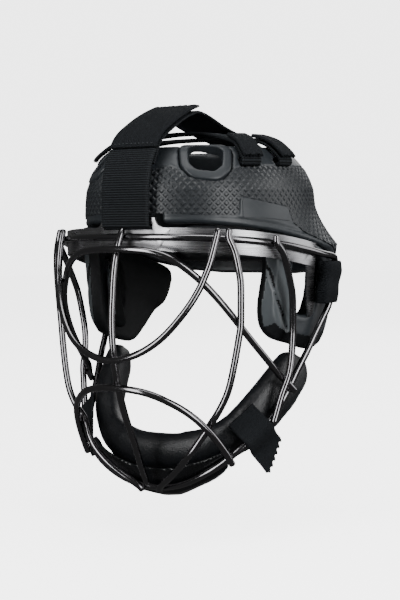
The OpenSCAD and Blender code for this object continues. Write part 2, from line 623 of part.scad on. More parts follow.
// Temple strap: a flat loop round the upright part of the perimeter wire
temple_z = 157.5;
temple_c = cage([94.5, temple_z, 1.27], 0);
temple_f = unit(cage([94.2, temple_z + 16, 1.05], 0) - cage([94, temple_z - 16, 1.4], 0));
loop_in = wire_r + web_t / 2 + 0.5;
loop_y = -12;
module temple_strap() {
  c = temple_c;
  g = wall_a(temple_z, 90) + clear + web_t / 2;
  ring = concat(
    [for (a = [-70:20:90]) [c.x + loop_in * sin(a), c.y + loop_in * cos(a), c.z]],
    [[c.x + loop_in, c.y + loop_y * 0.4, c.z], [c.x + loop_in - 0.6, c.y + loop_y, c.z],
    [c.x + loop_in / 2, c.y + loop_y - 2.2, c.z], [g + 1.4, c.y + loop_y - 1.6, c.z],
    [g, c.y + loop_y + 1, c.z], [g, c.y + loop_y * 0.4, c.z]]);
  color(web) placed() band(ring, [for (p = ring) temple_f], temple_w, web_t, true);
}
module temple_strap_left() {
  temple_strap();
}
module temple_strap_right() {
  other_side() temple_strap();
}

// Chin strap: webbing over the lower wire, its ends stitched to the pad
strap_t_deg = 60.5;
strap_c = cage([strap_t_deg, 51.2, 0], 0);
strap_f = unit(cage([68, 60, 0], 0) - cage([49, 39, 0], 0));
strap_o = unit(cage_out(strap_t_deg, 51.2) - (cage_out(strap_t_deg, 51.2) * strap_f) * strap_f);
strap_d = cross(strap_f, strap_o);
function strap_at(q) = strap_c + q.x * strap_d + q.y * strap_o;
strap_over = wire_r + web_t / 2 + 0.3;
chin_strap_course = [[-16, -7.8], [-13.5, -6.8], [-10, -3.4], [-6.2, 1], [-2.5, strap_over],
  [2.5, strap_over], [6.3, 2.4], [9.5, 0.8]];
chin_tail_course = [[11.5, 0.8], [14.5, 2.4], [19, 4], [23.5, 4.8], [28, 5]];
// The tail's end is cut aslant, from its rear edge down to its front edge
tail_cut = [[15, 0.55], [31, 0.55], [31, -0.55]];
module chin_web(course) {
  path = [for (q = spline(course, 2)) strap_at(q)];
  band(path, [for (p = path) strap_f], chin_strap_w, web_t);
}
module chin_strap_left() {
  color(web) placed() chin_web(chin_strap_course);
}
module chin_strap_right() {
  other_side() chin_strap_left();
}
module chin_tail_left() {
  color(web) placed() difference() {
    chin_web(chin_tail_course);
    skin([for (o = [-10, 20]) [for (q = tail_cut) strap_at([q.x, o]) + q.y * chin_strap_w * strap_f]]);
  }
}
module chin_tail_right() {
  other_side() chin_tail_left();
}

brow_plate();
perimeter_wire();
centre_wire();
eye_loop_wire();
brow_arch_wire();
chin_arch_wire();
side_wire_left();
side_wire_right();
temple_wire_left();
temple_wire_right();
foam_shell();
vent_rim_left();
vent_rim_right();
side_panel_left();
side_panel_right();
brow_pad();
rear_pad();
ear_guard_left();
ear_guard_right();
cheek_pad_left();
cheek_pad_right();
chin_pad();
chin_cup();
front_crown_strap();
crown_tab();
rear_crown_strap();
front_cross_strap();
rear_cross_strap();
front_cross_tab_left();
front_cross_tab_right();
rear_cross_tab_left();
rear_cross_tab_right();
temple_strap_left();
temple_strap_right();
chin_strap_left();
chin_strap_right();
chin_tail_left();
chin_tail_right();
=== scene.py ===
# %% [markdown]
# # Sports face mask
# The mask is a cage of dark polished wires on a flat brow plate, under an open shell of
# moulded foam with ear guards, pads, a chin cup and webbing straps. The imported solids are
# the frame: each piece here stands exactly where its solid is, and only its finish and its
# fine shape are new.

# %% Frame and units
import math
from contextlib import contextmanager
import bpy
import numpy as np
from mathutils import Matrix, Vector


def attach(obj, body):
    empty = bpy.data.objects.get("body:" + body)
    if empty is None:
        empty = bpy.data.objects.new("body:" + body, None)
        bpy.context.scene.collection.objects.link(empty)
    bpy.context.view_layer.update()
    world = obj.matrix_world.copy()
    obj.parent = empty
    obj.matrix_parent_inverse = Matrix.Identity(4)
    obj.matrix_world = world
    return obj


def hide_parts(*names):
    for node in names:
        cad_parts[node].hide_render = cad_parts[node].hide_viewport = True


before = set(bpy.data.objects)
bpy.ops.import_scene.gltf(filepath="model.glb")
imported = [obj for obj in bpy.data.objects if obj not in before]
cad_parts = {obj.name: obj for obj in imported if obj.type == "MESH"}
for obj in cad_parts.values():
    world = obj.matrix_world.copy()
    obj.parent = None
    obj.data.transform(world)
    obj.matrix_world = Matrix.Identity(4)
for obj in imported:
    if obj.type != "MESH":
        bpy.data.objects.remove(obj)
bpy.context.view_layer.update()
MM = 0.001
# The routes are written in millimetres above the floor, and the origin is this high
HEAD = np.array([0.0, 0.0, 150.0])

# %% [markdown]
# Blender's operators act on whatever is selected, so every step first selects one object
# alone. These few helpers copy a solid, open it in edit mode whole or in part, turn its
# faces outward, apply a modifier, and hand its points over as a plain array in millimetres.

# %% Working helpers
WELD = 0.02 * MM


def only(obj):
    bpy.ops.object.select_all(action="DESELECT")
    obj.select_set(True)
    bpy.context.view_layer.objects.active = obj


@contextmanager
def editing(obj, mode="VERT"):
    only(obj)
    bpy.ops.object.mode_set(mode="EDIT")
    bpy.ops.mesh.select_mode(type=mode)
    bpy.ops.mesh.select_all(action="SELECT")
    yield
    bpy.ops.object.mode_set(mode="OBJECT")


@contextmanager
def editing_some(obj, mode, chosen):
    with editing(obj, mode):
        bpy.ops.mesh.select_all(action="DESELECT")
    items = obj.data.edges if mode == "EDGE" else obj.data.polygons
    items.foreach_set("select", chosen)
    bpy.ops.object.mode_set(mode="EDIT")
    yield
    bpy.ops.object.mode_set(mode="OBJECT")


def face_outward(obj):
    with editing(obj):
        bpy.ops.mesh.normals_make_consistent(inside=False)


def modify(obj, kind, **settings):
    only(obj)
    modifier = obj.modifiers.new(kind.title(), kind)
    for key, value in settings.items():
        setattr(modifier, key, value)
    bpy.ops.object.modifier_apply(modifier=modifier.name)


def points(obj):
    flat = np.empty(len(obj.data.vertices) * 3)
    obj.data.vertices.foreach_get("co", flat)
    return flat.reshape(-1, 3) / MM + HEAD


def set_points(obj, where):
    obj.data.vertices.foreach_set("co", ((where - HEAD) * MM).ravel())
    obj.data.update()


def copy_of(node, name):
    obj = bpy.data.objects.new(name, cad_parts[node].data.copy())
    bpy.context.scene.collection.objects.link(obj)
    obj.data.materials.clear()
    with editing(obj):
        bpy.ops.mesh.remove_doubles(threshold=WELD)
    return obj


def join(name, parts):
    bpy.ops.object.select_all(action="DESELECT")
    for part in parts:
        part.select_set(True)
    bpy.context.view_layer.objects.active = parts[0]
    bpy.ops.object.join()
    parts[0].name = name
    return parts[0]


def dress(obj, nodes, material, body="mask", flat_angle=None):
    obj.data.materials.clear()
    obj.data.materials.append(material)
    only(obj)
    if flat_angle is None:
        bpy.ops.object.shade_smooth()
    else:
        bpy.ops.object.shade_smooth_by_angle(angle=math.radians(flat_angle))
    if nodes:
        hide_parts(*nodes)
    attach(obj, body)
    print(obj.name, len(obj.data.polygons), "faces")

# %% [markdown]
# The camera stands ahead of the wearer's left cheek, a little above the head's middle, with
# a long lens. It is set first, because every later choice is judged through it.

# %% Camera
CAMERA_AT = (0.622171, -0.957251, 0.054792)
CAMERA_RIGHT = Vector((0.836129, 0.548381, -0.012874))
CAMERA_UP = Vector((-0.019629, 0.053367, 0.998382))
PHOTO_HEIGHT = 600
FOCAL_PIXELS = 1507.1
SENSOR = 36

lens = bpy.data.cameras.new("camera")
camera = bpy.data.objects.new("camera", lens)
bpy.context.scene.collection.objects.link(camera)
lens.sensor_width = SENSOR
lens.lens = SENSOR * FOCAL_PIXELS / PHOTO_HEIGHT
turn = Matrix((CAMERA_RIGHT, CAMERA_UP, CAMERA_RIGHT.cross(CAMERA_UP))).transposed()
camera.matrix_world = Matrix.Translation(CAMERA_AT) @ turn.to_4x4()
bpy.context.scene.camera = camera
print("camera at", CAMERA_AT, "lens", round(lens.lens, 1), "mm")

# %% [markdown]
# Every finish is built from nodes. One function turns a sRGB hex colour to linear, one adds
# a node with its settings and links, and one starts a material from its colour, metal and
# roughness. Patterns are scaled in millimetres of the real surface. A noise mostly stays
# between two values near its middle, so those are the ends it is spread from.

# %% Material helpers
NOISE_LOW = 0.3
NOISE_HIGH = 0.7
# The Mix node's two colour inputs and its colour output, which share their names with others
MIX_DARK, MIX_LIGHT, MIX_RESULT = 6, 7, 2


def colour(hex_text):
    parts = [int(hex_text[i:i + 2], 16) / 255 for i in (1, 3, 5)]
    return [c / 12.92 if c < 0.04045 else ((c + 0.055) / 1.055) ** 2.4 for c in parts] + [1.0]


def add(tree, kind, inputs=None, **settings):
    node = tree.nodes.new("ShaderNode" + kind)
    for key, value in settings.items():
        setattr(node, key, value)
    for socket, value in (inputs or {}).items():
        if isinstance(value, bpy.types.NodeSocket):
            tree.links.new(value, node.inputs[socket])
        else:
            node.inputs[socket].default_value = value
    return node


def start(name, hex_text, roughness, metallic=0.0, **sockets):
    material = bpy.data.materials.new(name)
    material.use_nodes = True
    tree = material.node_tree
    shader = tree.nodes["Principled BSDF"]
    shader.inputs["Base Color"].default_value = colour(hex_text)
    shader.inputs["Roughness"].default_value = roughness
    shader.inputs["Metallic"].default_value = metallic
    for socket, value in sockets.items():
        shader.inputs[socket.replace("_", " ")].default_value = value
    print("material", name)
    return material, tree, shader


def maths(tree, operation, *values):
    node = add(tree, "Math", dict(enumerate(values)), operation=operation)
    return node.outputs["Value"]


def place(tree, stretch=(1, 1, 1)):
    where = add(tree, "TexCoord").outputs["Object"]
    return add(tree, "Mapping", {"Vector": where, "Scale": stretch}).outputs["Vector"]


def per_mm(size_mm):
    return 1 / (size_mm * MM)


def raise_by(tree, shader, height, depth_mm, strength):
    bump = add(tree, "Bump", {"Height": height, "Distance": depth_mm * MM,
                              "Strength": strength})
    tree.links.new(bump.outputs["Normal"], shader.inputs["Normal"])


def grain(tree, shader, size_mm, depth_mm, strength, stretch=(1, 1, 1), detail=3.0):
    noise = add(tree, "TexNoise", {"Vector": place(tree, stretch), "Scale": per_mm(size_mm),
                                   "Detail": detail}).outputs["Fac"]
    raise_by(tree, shader, noise, depth_mm, strength)
    return noise


def vary(tree, shader, socket, noise, low, high):
    spread = add(tree, "MapRange", {"Value": noise, "To Min": low, "To Max": high,
                                    "From Min": NOISE_LOW, "From Max": NOISE_HIGH})
    tree.links.new(spread.outputs["Result"], shader.inputs[socket])


def shade(tree, shader, noise, dark, light):
    mix = add(tree, "Mix", data_type="RGBA")
    tree.links.new(noise, mix.inputs["Factor"])
    mix.inputs[MIX_DARK].default_value = colour(dark)
    mix.inputs[MIX_LIGHT].default_value = colour(light)
    tree.links.new(mix.outputs[MIX_RESULT], shader.inputs["Base Color"])

# %% [markdown]
# The wires are drawn steel rod, bent, welded and plated in dark nickel. The plating is
# nearly a mirror, so a wire shows a dark core with a bright line along each edge. Very fine
# drawing marks break the mirror up a little.

# %% Dark nickel plated wire
def dark_nickel():
    material, tree, shader = start("dark_nickel_plated_wire", "#6c6b6d", 0.16, 1.0)
    noise = grain(tree, shader, 0.9, 0.01, 0.1)
    vary(tree, shader, "Roughness", noise, 0.14, 0.18)
    return material


NICKEL = dark_nickel()

# %% [markdown]
# The brow plate is rolled steel strip with the same plating over a brushed face. Brushing
# leaves long fine lines, which spread a highlight across them.

# %% Brushed nickel plate
def brushed_nickel():
    material, tree, shader = start("brushed_dark_nickel_plate", "#8a8a8c", 0.3, 1.0)
    noise = grain(tree, shader, 1.2, 0.02, 0.15, stretch=(0.05, 0.05, 3.0), detail=6.0)
    vary(tree, shader, "Roughness", noise, 0.2, 0.38)
    return material


BRUSHED = brushed_nickel()

# %% [markdown]
# The shell and the ear guards are compression moulded foam with a closed skin. The skin is
# charcoal, dull and finely pebbled, and cloudy patches make it a little lighter where hands
# rub it. The hard chin cup is moulded plastic with the same pebble, only finer and glossier.

# %% Moulded foam and moulded plastic
PEBBLE_DEPTH = 0.06
PATCH_SIZE = 26


def moulded_foam(name, dark, light, roughness, pebble_mm=0.7, gloss=0.4):
    material, tree, shader = start(name, dark, roughness, Specular_IOR_Level=gloss)
    noise = grain(tree, shader, pebble_mm, PEBBLE_DEPTH, 0.35)
    cloud = add(tree, "TexNoise", {"Vector": place(tree), "Scale": per_mm(PATCH_SIZE),
                                   "Detail": 4.0})
    shade(tree, shader, cloud.outputs["Fac"], dark, light)
    vary(tree, shader, "Roughness", noise, roughness - 0.06, roughness + 0.08)
    return material


FOAM = moulded_foam("moulded_foam_charcoal", "#1b1e21", "#232629", 0.4)
SMOOTH_FOAM = moulded_foam("moulded_foam_smooth", "#1f2326", "#272b2f", 0.42, pebble_mm=0.4)
# The guard and facet greys are painted light: lighter copies of the foam, laid on faces turned
# outward, where the light falls.
LIT_GUARD_FOAM = moulded_foam("moulded_foam_guard", "#26292c", "#303438", 0.42)
LIT_FACET_FOAM = moulded_foam("moulded_foam_cheek", "#414649", "#4c5154", 0.38, pebble_mm=0.5)
BLACK_FOAM = moulded_foam("moulded_foam_black", "#0c0d0f", "#131517", 0.6, gloss=0.2)
CUP_SHELL = moulded_foam("moulded_polypropylene", "#0a0b0c", "#121315", 0.24, pebble_mm=0.3)

# %% [markdown]
# The chin roll, the brow pad and the rear pad are foam in a soft black skin of coated fabric. It
# has a fine leathery grain over broader creases, whose hollows are painted darker as painted
# shade, and a faint sheen. The lining of the cheek pads is knitted, so the same relief is duller
# there.

# %% Coated fabric and knitted lining
GRAIN_SIZE = 0.9
CREASE_SIZE = 7


def coated_fabric(name, dark, light, roughness, gloss=0.35):
    material, tree, shader = start(name, dark, roughness, Specular_IOR_Level=gloss)
    cells = add(tree, "TexVoronoi", {"Vector": place(tree), "Scale": per_mm(GRAIN_SIZE)})
    creases = add(tree, "TexNoise", {"Vector": place(tree), "Scale": per_mm(CREASE_SIZE),
                                     "Detail": 5.0}).outputs["Fac"]
    raise_by(tree, shader, maths(tree, "ADD", cells.outputs["Distance"], creases), 0.3, 0.5)
    # Painted shade: the crease noise also paints the hollows of the creases darker
    shade(tree, shader, creases, dark, light)
    return material


COATED = coated_fabric("coated_fabric_black", "#0c0d0f", "#15171a", 0.38)
LINING = coated_fabric("knitted_lining_black", "#08090a", "#101214", 0.75, gloss=0.15)

# %% [markdown]
# Webbing is woven polyester. The ribs are real geometry on the crown and cross straps, and
# the yarn crossings are a bump read from the strap's own UV map, which is laid out in
# millimetres along and across the strap. The valleys between the ribs stay darker, as less
# light gets in. The same map drives the fuzzy hook and loop tape.

# %% Woven webbing and hook and loop tape
FIBRES_PER_MM = 2.6


def woven(name, dark, light, yarn_mm, depth_mm, roughness=0.8, fuzz=0.0, rib_mm=None):
    material, tree, shader = start(name, dark, roughness, Specular_IOR_Level=0.12)
    along = add(tree, "UVMap", uv_map="web").outputs["UV"]
    split = add(tree, "SeparateXYZ", {"Vector": along})

    def wave(kind, axis, length_mm):
        angle = maths(tree, "MULTIPLY", split.outputs[axis], 2 * math.pi / length_mm)
        return maths(tree, kind, angle)

    weave = maths(tree, "MULTIPLY", wave("SINE", "X", yarn_mm), wave("SINE", "Y", yarn_mm))
    fibres = add(tree, "TexNoise", {"Vector": along, "Scale": FIBRES_PER_MM,
                                    "Detail": 6.0}).outputs["Fac"]
    fuzzed = maths(tree, "MULTIPLY", fibres, 1.0 + 3.0 * fuzz)
    raise_by(tree, shader, maths(tree, "ADD", weave, fuzzed), depth_mm, 0.6)
    if rib_mm is None:
        shade(tree, shader, fibres, dark, light)
        return material
    worn = maths(tree, "MULTIPLY", fibres, 0.5)
    level = maths(tree, "MULTIPLY_ADD", wave("COSINE", "X", rib_mm), -0.5, worn)
    reach = add(tree, "MapRange", {"Value": level, "From Min": -0.25, "From Max": 0.75})
    shade(tree, shader, reach.outputs["Result"], dark, light)
    return material


RIB = 1.7
WEBBING = woven("woven_polyester_webbing", "#08090a", "#232629", 0.9, 0.1, rib_mm=RIB)
LOOP_TAPE = woven("hook_and_loop_tape", "#0b0c0e", "#212427", 1.7, 0.35, 0.9, fuzz=1.0)

# %% [markdown]
# The seams are sewn with a thick bonded nylon thread. It is twisted, so it has a fine slanting
# rib. It is painted a shade lighter than the webbing's valleys as a painted sheen of its smooth
# fibres, and the twist's ridges are painted lighter still as painted highlight.

# %% Sewing thread
def bonded_thread():
    material, tree, shader = start("bonded_nylon_thread", "#1a1c1e", 0.5, Specular_IOR_Level=0.3)
    twist = add(tree, "TexWave", {"Vector": place(tree, (1, 0.6, 1)), "Scale": per_mm(3.0),
                                  "Distortion": 1.0}).outputs["Fac"]
    raise_by(tree, shader, twist, 0.1, 0.5)
    # Painted sheen: the thread's colour is lighter, and lighter again on each ridge of the twist
    shade(tree, shader, twist, "#141618", "#282b2f")
    return material


THREAD = bonded_thread()

# %% [markdown]
# Each wire starts as a copy of its solid, an eight sided tube. Its triangles are paired to
# quads, the tube is fattened by what subdivision will take off, and two levels of
# subdivision make it round and bring its bends into one flowing line. A real wire is bent on
# a jig from drawn rod, so its bends flow in the same way.

# %% Cage wires
ROUNDING_LOSS = 0.25 * MM
# Two triangles that meet at less than this angle, in radians, are one side of the tube
PAIR_ANGLE = 1.2


def polished_wire(node):
    wire = copy_of(node, "polished_" + node)
    with editing(wire, "FACE"):
        bpy.ops.mesh.tris_convert_to_quads(face_threshold=PAIR_ANGLE,
                                           shape_threshold=PAIR_ANGLE)
        bpy.ops.transform.shrink_fatten(value=ROUNDING_LOSS)
    modify(wire, "SUBSURF", levels=2, render_levels=2)
    dress(wire, [node], NICKEL)


WIRES = [n for n in sorted(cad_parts) if n.endswith("wire") or "_wire_" in n]
for node in WIRES:
    polished_wire(node)
print("wires", WIRES)

# %% [markdown]
# The plate is a flat strip with a tongue round the strap's slot. In the solid the tongue's
# sides are straight edges. On the real plate they sweep down to the strip in a hollow curve,
# so each of these edges is found by its place and cut in pieces.

# %% Brow plate with its side edges cut
# Between which distances from the middle the tongue's sides lie, and between which heights
SOLID_SIDE = (30, 36)
EDGE_FOOT_Z = (195, 200)
EDGE_TOP_Z = 203


def beside_tongue(x):
    return (np.abs(x) > SOLID_SIDE[0]) & (np.abs(x) < SOLID_SIDE[1])


plate = copy_of("brow_plate", "brushed_brow_plate")
with editing(plate, "FACE"):
    bpy.ops.mesh.dissolve_limited(angle_limit=0.01)
p = points(plate)
ends = [(p[list(e.vertices)].min(0), p[list(e.vertices)].max(0)) for e in plate.data.edges]
sides = [bool(beside_tongue(a[0]) and abs(b[0]) < SOLID_SIDE[1] and b[2] > EDGE_TOP_Z
              and EDGE_FOOT_Z[0] < a[2] < EDGE_FOOT_Z[1]) for a, b in ends]
with editing_some(plate, "EDGE", sides):
    bpy.ops.mesh.subdivide(number_cuts=6)
print("side edges", sum(sides))

# %% [markdown]
# The new points are laid on a quarter wave from the strip up to the tongue's top. The plate's
# front leans back towards the sides, so a point that moves inward also moves forward by that
# slope. A narrow bevel then catches the light along every edge, as a rolled edge does.

# %% Hollow sides and rolled edges
TONGUE_FROM_Z = 196
SOLID_FOOT_Z = 197.4
SOLID_TOP_Z = 204.1
# Half the tongue's width at its top and at its foot, and the heights it sweeps through
TONGUE_TOP = 22.8
TONGUE_FOOT = 29.5
TONGUE_TOP_Z = 204.4
TONGUE_DROP = 7.0
# How much further back the front face lies at the second distance than at the first
PLATE_LEAN = (98.2 - 101.5) / (34.0 - 17.0)

p = points(plate)
tongue = beside_tongue(p[:, 0]) & (p[:, 2] > TONGUE_FROM_Z)
share = np.clip((p[tongue, 2] - SOLID_FOOT_Z) / (SOLID_TOP_Z - SOLID_FOOT_Z), 0, 1)
bend = (1 - share) * math.pi / 2
solid_x = np.abs(p[tongue, 0])
curved_x = TONGUE_FOOT - (TONGUE_FOOT - TONGUE_TOP) * np.cos(bend)
moved = np.where(share > 0, curved_x, solid_x)
p[tongue, 1] += PLATE_LEAN * (solid_x - moved)
p[tongue, 0] = np.sign(p[tongue, 0]) * moved
p[tongue, 2] = np.where(share > 0, TONGUE_TOP_Z - TONGUE_DROP * np.sin(bend), p[tongue, 2])
set_points(plate, p)
print("tongue points", int(tongue.sum()))
modify(plate, "BEVEL", width=0.35 * MM, segments=2, limit_method="ANGLE", angle_limit=0.7)
dress(plate, ["brow_plate"], BRUSHED, flat_angle=35)

# %% [markdown]
# The shell follows one curved head wall. These functions give that wall's radius at an
# angle round the head and a height, and the point on the shell's outer skin there. The
# knurled fields, the grooves, the label panels and the cross straps are laid on it.

# %% The head wall
SHELL_TOP = 255.0
FLARE_FROM = 183.0
FLARE_OVER = 115
WALL_TOP = SHELL_TOP - 41
HALF_WIDTH = 82
FRONT = 98
REAR = 74
FLARE = 16
# An oval's power is 2, and a squarer plan has a higher one
PLAN_POWER = 2.2
EDGE_REAR = 159
EDGE_FRONT = 200


def wall_radius(h, z):
    z = np.asarray(z, float)
    above = np.clip((WALL_TOP - z) / (WALL_TOP - FLARE_FROM), 0, None) ** 1.5
    flare = FLARE * np.where(z > FLARE_FROM, above, 1 - (FLARE_FROM - z) / FLARE_OVER)
    bend = np.radians(h)
    side = HALF_WIDTH + flare * np.sin(np.minimum(np.abs(bend), np.pi / 2)) ** 4
    front = np.where(np.abs(bend) < np.pi / 2, FRONT, REAR + flare)
    return (np.abs(np.sin(bend) / side) ** PLAN_POWER
            + np.abs(np.cos(bend) / front) ** PLAN_POWER) ** (-1 / PLAN_POWER)


def dome(z):
    return np.interp(z, [214, 224, 231, 238, 244, 250, 254], [0, 1, 3.5, 7, 11.5, 17, 22.5])


def lower_edge(h):
    share = np.interp(np.abs(h), [0, 30, 48, 66, 78, 90, 102, 120, 138, 156, 180],
                      [1, 0.99, 0.93, 0.84, 0.74, 0.63, 0.48, 0.22, 0.06, 0, 0])
    return EDGE_REAR + (EDGE_FRONT - EDGE_REAR) * share


def on_shell(h, z, out=0.0):
    def skin(h, z):
        r = wall_radius(h, z) - dome(z)
        return np.stack([r * np.sin(np.radians(h)), -r * np.cos(np.radians(h)), z], -1)
    h, z = np.broadcast_arrays(np.asarray(h, float), np.asarray(z, float))
    normal = np.cross(skin(h + 0.5, z) - skin(h - 0.5, z), skin(h, z + 0.5) - skin(h, z - 0.5))
    normal /= np.linalg.norm(normal, axis=-1, keepdims=True)
    return skin(h, z) + normal * np.asarray(out)[..., None]

# %% [markdown]
# The shell's solid is faceted. A fine voxel remesh and a short smoothing turn it into one
# soft moulded skin, and then a shallow groove is pressed in along the lower edge, where the
# real mould has one.

# %% Foam shell
# Only points this near the outer skin are pressed, so that the lining stays as it is
SKIN_REACH = 4
EDGE_GROOVE = {"depth": 1.1, "above": 5.2, "width": 1.3}


def moulded(node, name, voxel_mm, smoothing):
    obj = copy_of(node, name)
    modify(obj, "REMESH", mode="VOXEL", voxel_size=voxel_mm * MM)
    modify(obj, "SMOOTH", factor=0.5, iterations=smoothing)
    return obj


def press_skin(depth_at):
    p = points(shell)
    angle = np.degrees(np.arctan2(p[:, 0], -p[:, 1]))
    radius = np.hypot(p[:, 0], p[:, 1])
    skin = wall_radius(angle, p[:, 2]) - dome(p[:, 2]) - radius < SKIN_REACH
    press = depth_at(angle, p[:, 2]) * skin
    p[:, :2] *= ((radius - press) / radius)[:, None]
    set_points(shell, p)
    print("pressed", int((press > 0.1).sum()), "points of the skin")


def edge_groove(angle, z):
    above = z - lower_edge(angle) - EDGE_GROOVE["above"]
    return EDGE_GROOVE["depth"] * np.exp(-(above / EDGE_GROOVE["width"]) ** 2)


shell = moulded("foam_shell", "moulded_shell", 1.3, 12)
press_skin(edge_groove)

# %% [markdown]
# The knurled fields and the label panels are modelled flat and then wrapped onto the shell,
# so they need a flat map of it: the length round the head, and the length up the wall.

# %% Flat map of the shell
ANGLES = np.linspace(-180, 180, 1441)
HEIGHTS = np.linspace(150, 254, 417)
# The length round the head is measured at this height, below the dome
GIRTH_Z = 222
plan = np.stack([wall_radius(ANGLES, GIRTH_Z) * np.sin(np.radians(ANGLES)),
                 wall_radius(ANGLES, GIRTH_Z) * np.cos(np.radians(ANGLES))], -1)
ROUND = np.concatenate([[0], np.cumsum(np.linalg.norm(np.diff(plan, axis=0), axis=1))])
ROUND -= ROUND[len(ANGLES) // 2]
CLIMB = np.concatenate([[0], np.cumsum(np.hypot(np.diff(HEIGHTS), np.diff(dome(HEIGHTS))))])
CLIMB += HEIGHTS[0]
# The cutter that trims a flat piece to its outline reaches from below to above it
TRIM_HEIGHTS = (-3, 5)


def flatten(outline):
    h, z = np.array(outline, float).T
    return np.stack([np.interp(h, ANGLES, ROUND), np.interp(z, HEIGHTS, CLIMB)], -1)


def wrap_on_shell(obj):
    flat = points(obj) - HEAD
    set_points(obj, on_shell(np.interp(flat[:, 0], ROUND, ANGLES),
                             np.interp(flat[:, 1], CLIMB, HEIGHTS), flat[:, 2]))
    face_outward(obj)


def trim(obj, outline):
    low, high = TRIM_HEIGHTS
    turn = np.sign(np.cross(outline, np.roll(outline, -1, 0)).sum())
    bpy.ops.object.select_all(action="DESELECT")
    bpy.ops.mesh.primitive_circle_add(vertices=len(outline), fill_type="NGON", radius=MM)
    cutter = bpy.context.active_object
    where = np.concatenate([outline, np.full((len(outline), 1), low)], 1)
    set_points(cutter, where + HEAD)
    modify(cutter, "SOLIDIFY", thickness=(high - low) * MM, offset=1 if turn > 0 else -1)
    face_outward(cutter)
    modify(obj, "BOOLEAN", operation="INTERSECT", object=cutter, solver="EXACT")
    bpy.data.objects.remove(cutter)

# %% [markdown]
# The shell's sides carry moulded fields of small blunt pyramids set as diamonds, with narrow
# flat channels between them. A grid is turned by 45 degrees and given a thickness, and each
# top face is inset twice, the second time upwards. A boolean then trims the pyramids to the
# field's outline. In the mould the fields are sunk, so the shell's skin is pressed in under
# each one and a little beyond its edge, which leaves the fine dark groove round it.

# %% Knurled fields
DIAMOND = 6.2
CHANNEL = 0.5
SLOPE = 0.85
PYRAMID = 0.62
# The field's body lies between these two levels of the skin, and the pyramids rise from it
FIELD_BOTTOM = -1.7
FIELD_LOW = -0.55
PRESSED = 1.05
GROOVE = 0.9
FIELD_SIDE = [(8.5, 207.5), (22, 207), (35, 206), (46.5, 205.5), (47.6, 207), (48, 216.5),
              (49.5, 218.6), (61.5, 215.2), (77, 211.6), (78.6, 210), (79, 199.5), (84, 193.5),
              (90.5, 189.5), (100, 184.5), (112, 178), (122, 173.5), (125, 175), (126, 178),
              (126, 236), (124, 239.5), (120, 240), (100, 240), (70, 240.2), (50, 239.2),
              (46, 237.8), (44.5, 235), (41.5, 230.3), (37, 229), (29, 231), (22.5, 233.8),
              (19.5, 239), (16.5, 240.2), (8.5, 238.5)]


def turned_grid(name, outline, cell, angle, low, high):
    s, z = outline.T
    middle = Vector(((s.min() + s.max()) / 2, (z.min() + z.max()) / 2, 0)) * MM
    count = int((np.ptp(s) + np.ptp(z)) / math.sqrt(2) / cell) + 4
    bpy.ops.object.select_all(action="DESELECT")
    bpy.ops.mesh.primitive_grid_add(x_subdivisions=count, y_subdivisions=count,
                                    size=count * cell * MM)
    obj = bpy.context.active_object
    obj.name = name
    with editing(obj, "FACE"):
        bpy.ops.transform.rotate(value=math.radians(angle), orient_axis="Z",
                                 center_override=(0, 0, 0))
        bpy.ops.transform.translate(value=middle + Vector((0, 0, low * MM)))
    modify(obj, "SOLIDIFY", thickness=(high - low) * MM, offset=1)
    return obj


def knurled_field(name, line):
    outline = flatten(line)
    field = turned_grid(name, outline, DIAMOND / math.sqrt(2), 45, FIELD_BOTTOM, FIELD_LOW)
    top = [face.normal.z > 0.5 for face in field.data.polygons]
    with editing_some(field, "FACE", top):
        bpy.ops.mesh.inset(thickness=CHANNEL * MM, use_individual=True)
        bpy.ops.mesh.inset(thickness=SLOPE * MM, depth=PYRAMID * MM, use_individual=True)
    trim(field, outline)
    wrap_on_shell(field)
    return field


def away_from(segments, q):
    nearest = np.full(len(q), 1e9)
    for a, b in segments:
        share = np.clip(((q - a) @ (b - a)) / ((b - a) @ (b - a)), 0, 1)
        nearest = np.minimum(nearest, np.linalg.norm(q - a - share[:, None] * (b - a), axis=1))
    return nearest


def depth_inside(outline, q):
    segments = list(zip(outline, np.roll(outline, -1, 0)))
    inside = np.zeros(len(q), bool)
    for a, b in segments:
        crosses = (a[1] > q[:, 1]) != (b[1] > q[:, 1])
        rise = (b[1] - a[1]) if b[1] != a[1] else 1e-9
        inside ^= crosses & (q[:, 0] < a[0] + (b[0] - a[0]) * (q[:, 1] - a[1]) / rise)
    nearest = away_from(segments, q)
    return np.where(inside, nearest, -nearest)


for side, sign in (("left", 1), ("right", -1)):
    line = [(sign * h, z) for h, z in FIELD_SIDE]
    field = knurled_field("knurled_field_" + side, line)
    dress(field, [], FOAM, flat_angle=18)

    def under_field(angle, z):
        inside = depth_inside(flatten(line), flatten(np.stack([angle, z], -1)))
        return PRESSED * np.clip((inside + GROOVE) / GROOVE, 0, 1)

    press_skin(under_field)
dress(shell, ["foam_shell"], SMOOTH_FOAM)

# %% [markdown]
# The ring round each vent is a moulding too, but it stands proud and is smooth. The bare panel
# set in the lower edge of each field is a thin smooth plate with rounded corners, trimmed from
# a fine grid so that it bends round the shell.

# %% Vent rings and label panels
PANEL_CELL = 1.7
PANEL_LEVELS = (-0.7, 0.4)
PANEL = [(49.5, 204.6), (49.5, 216.3), (49.9, 217.1), (50.8, 217.3), (61.5, 214.2),
         (75.8, 210.8), (76.9, 210.2), (77.4, 209.0), (77.5, 202.2), (77.1, 201.2),
         (76.2, 200.8), (63, 203.0), (50.8, 203.6), (49.9, 203.9)]

for side, sign in (("left", 1), ("right", -1)):
    ring = moulded("vent_rim_" + side, "moulded_vent_ring_" + side, 0.6, 24)
    dress(ring, ["vent_rim_" + side], SMOOTH_FOAM)
    outline = flatten([(sign * h, z) for h, z in PANEL])
    label = turned_grid("bare_side_panel_" + side, outline, PANEL_CELL, 0, *PANEL_LEVELS)
    trim(label, outline)
    wrap_on_shell(label)
    dress(label, ["side_panel_" + side], SMOOTH_FOAM, flat_angle=40)
